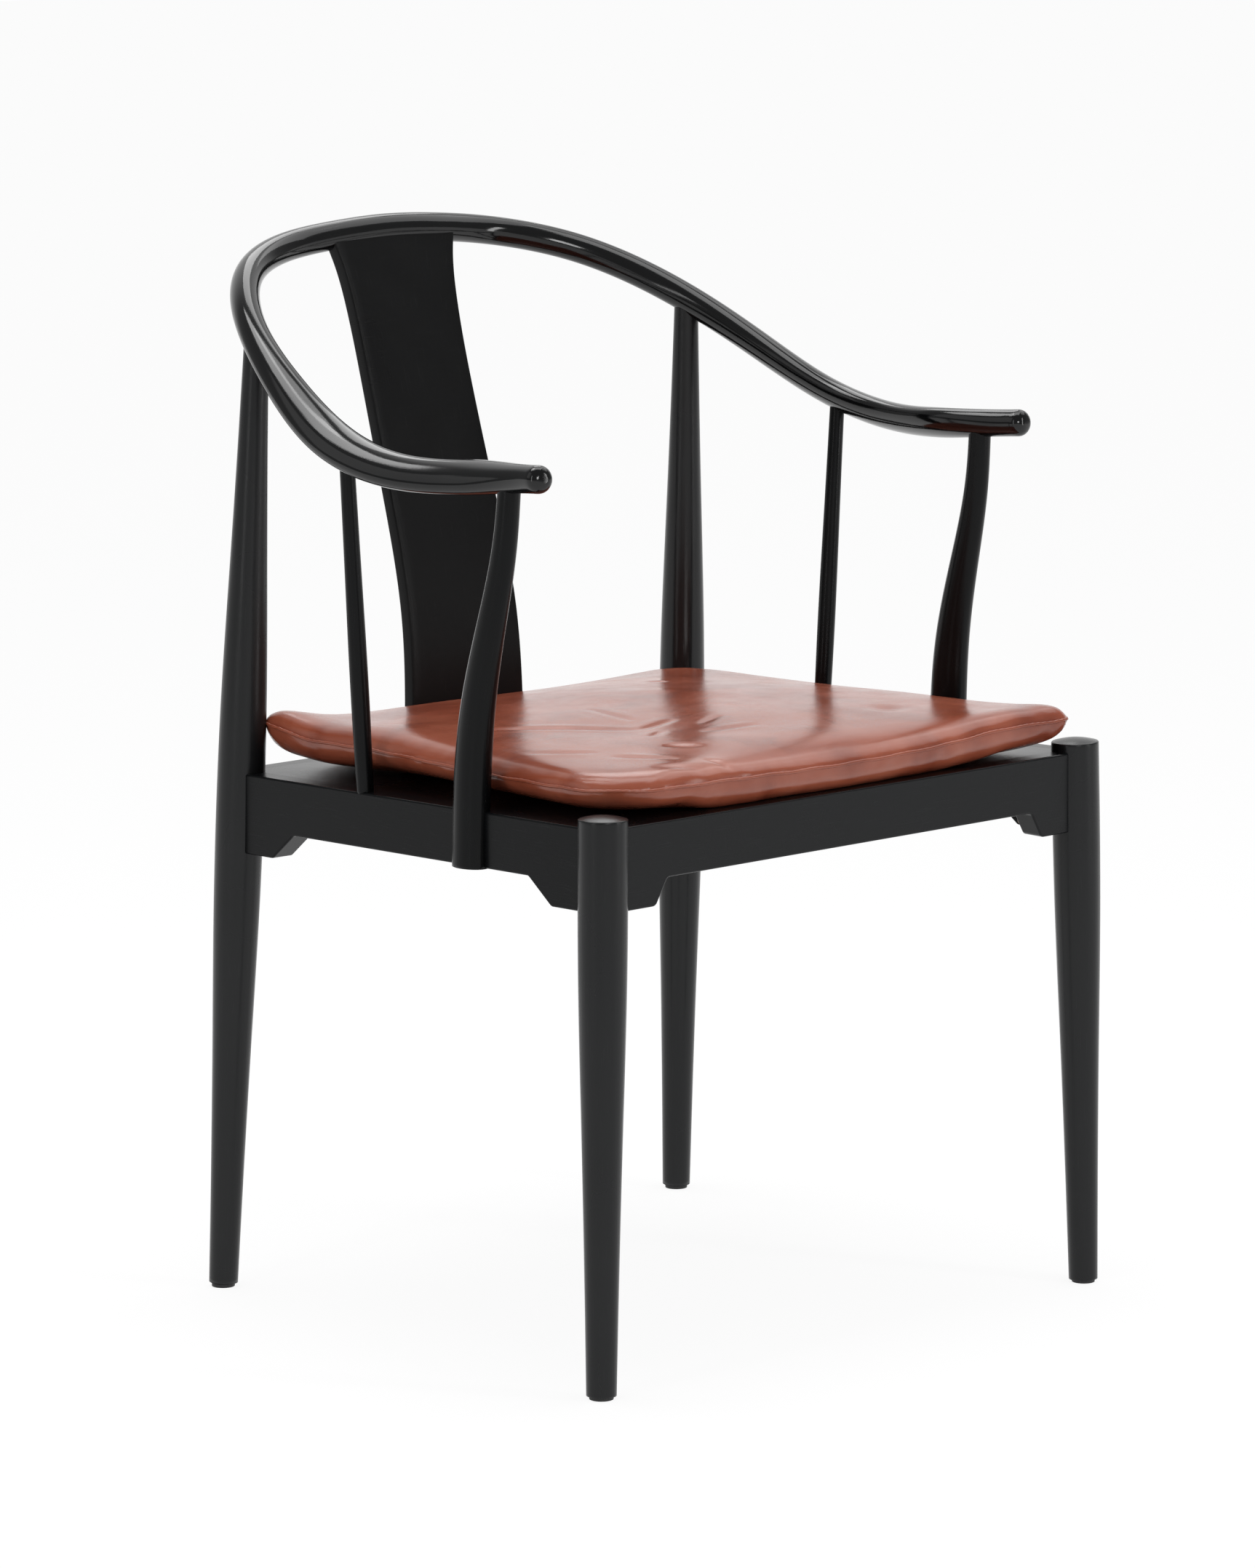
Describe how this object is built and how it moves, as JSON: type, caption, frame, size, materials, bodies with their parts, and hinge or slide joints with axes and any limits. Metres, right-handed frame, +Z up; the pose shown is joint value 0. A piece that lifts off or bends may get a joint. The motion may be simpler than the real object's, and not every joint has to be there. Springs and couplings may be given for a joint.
{
  "type": "horseshoe back armchair",
  "caption": "Lacquered wooden armchair whose arms and back are one bent horseshoe rail, with a curved splat, bracketed seat rails and a loose leather cushion.",
  "frame": {"origin": "on the floor, at the middle of the chair's width and depth", "axes": "+Z up, the front faces -Y, +X is the sitter's left"},
  "size_m": [0.546, 0.5506, 0.8158],
  "materials": {
    "black_lacquer": "black lacquer, semi-gloss",
    "bare_wood": "planed beech, oiled",
    "zinc_steel": "bright zinc",
    "nylon": "black nylon",
    "red_leather": "cognac red, semi-gloss, creased",
    "core_foam": "foam and down in a cotton lining"
  },
  "bodies": {
    "chair_frame": {"crest_rail": "black_lacquer", "back_splat": "black_lacquer", "front_leg_left": "black_lacquer", "front_leg_right": "black_lacquer", "rear_leg_left": "black_lacquer", "rear_leg_right": "black_lacquer", "front_rail": "black_lacquer", "back_rail": "black_lacquer", "side_rail_left": "black_lacquer", "side_rail_right": "black_lacquer", "arm_post_left": "black_lacquer", "arm_post_right": "black_lacquer", "side_spindle_left": "black_lacquer", "side_spindle_right": "black_lacquer", "seat_panel": "black_lacquer", "corner_block_front_left": "bare_wood", "corner_block_front_right": "bare_wood", "corner_block_rear_left": "bare_wood", "corner_block_rear_right": "bare_wood", "corner_block_screws": "zinc_steel", "seat_panel_screws": "zinc_steel", "arm_post_screws": "zinc_steel", "floor_glides": "nylon"},
    "cushion": {"cushion_cover_top": "red_leather", "cushion_cover_bottom": "red_leather", "cushion_core": "core_foam"}
  },
  "joints": [
    {"name": "cushion_lift", "type": "slide", "parent": "chair_frame", "child": "cushion", "axis": [0, 0, 1], "range_m": [0, 0.42]}
  ]
}
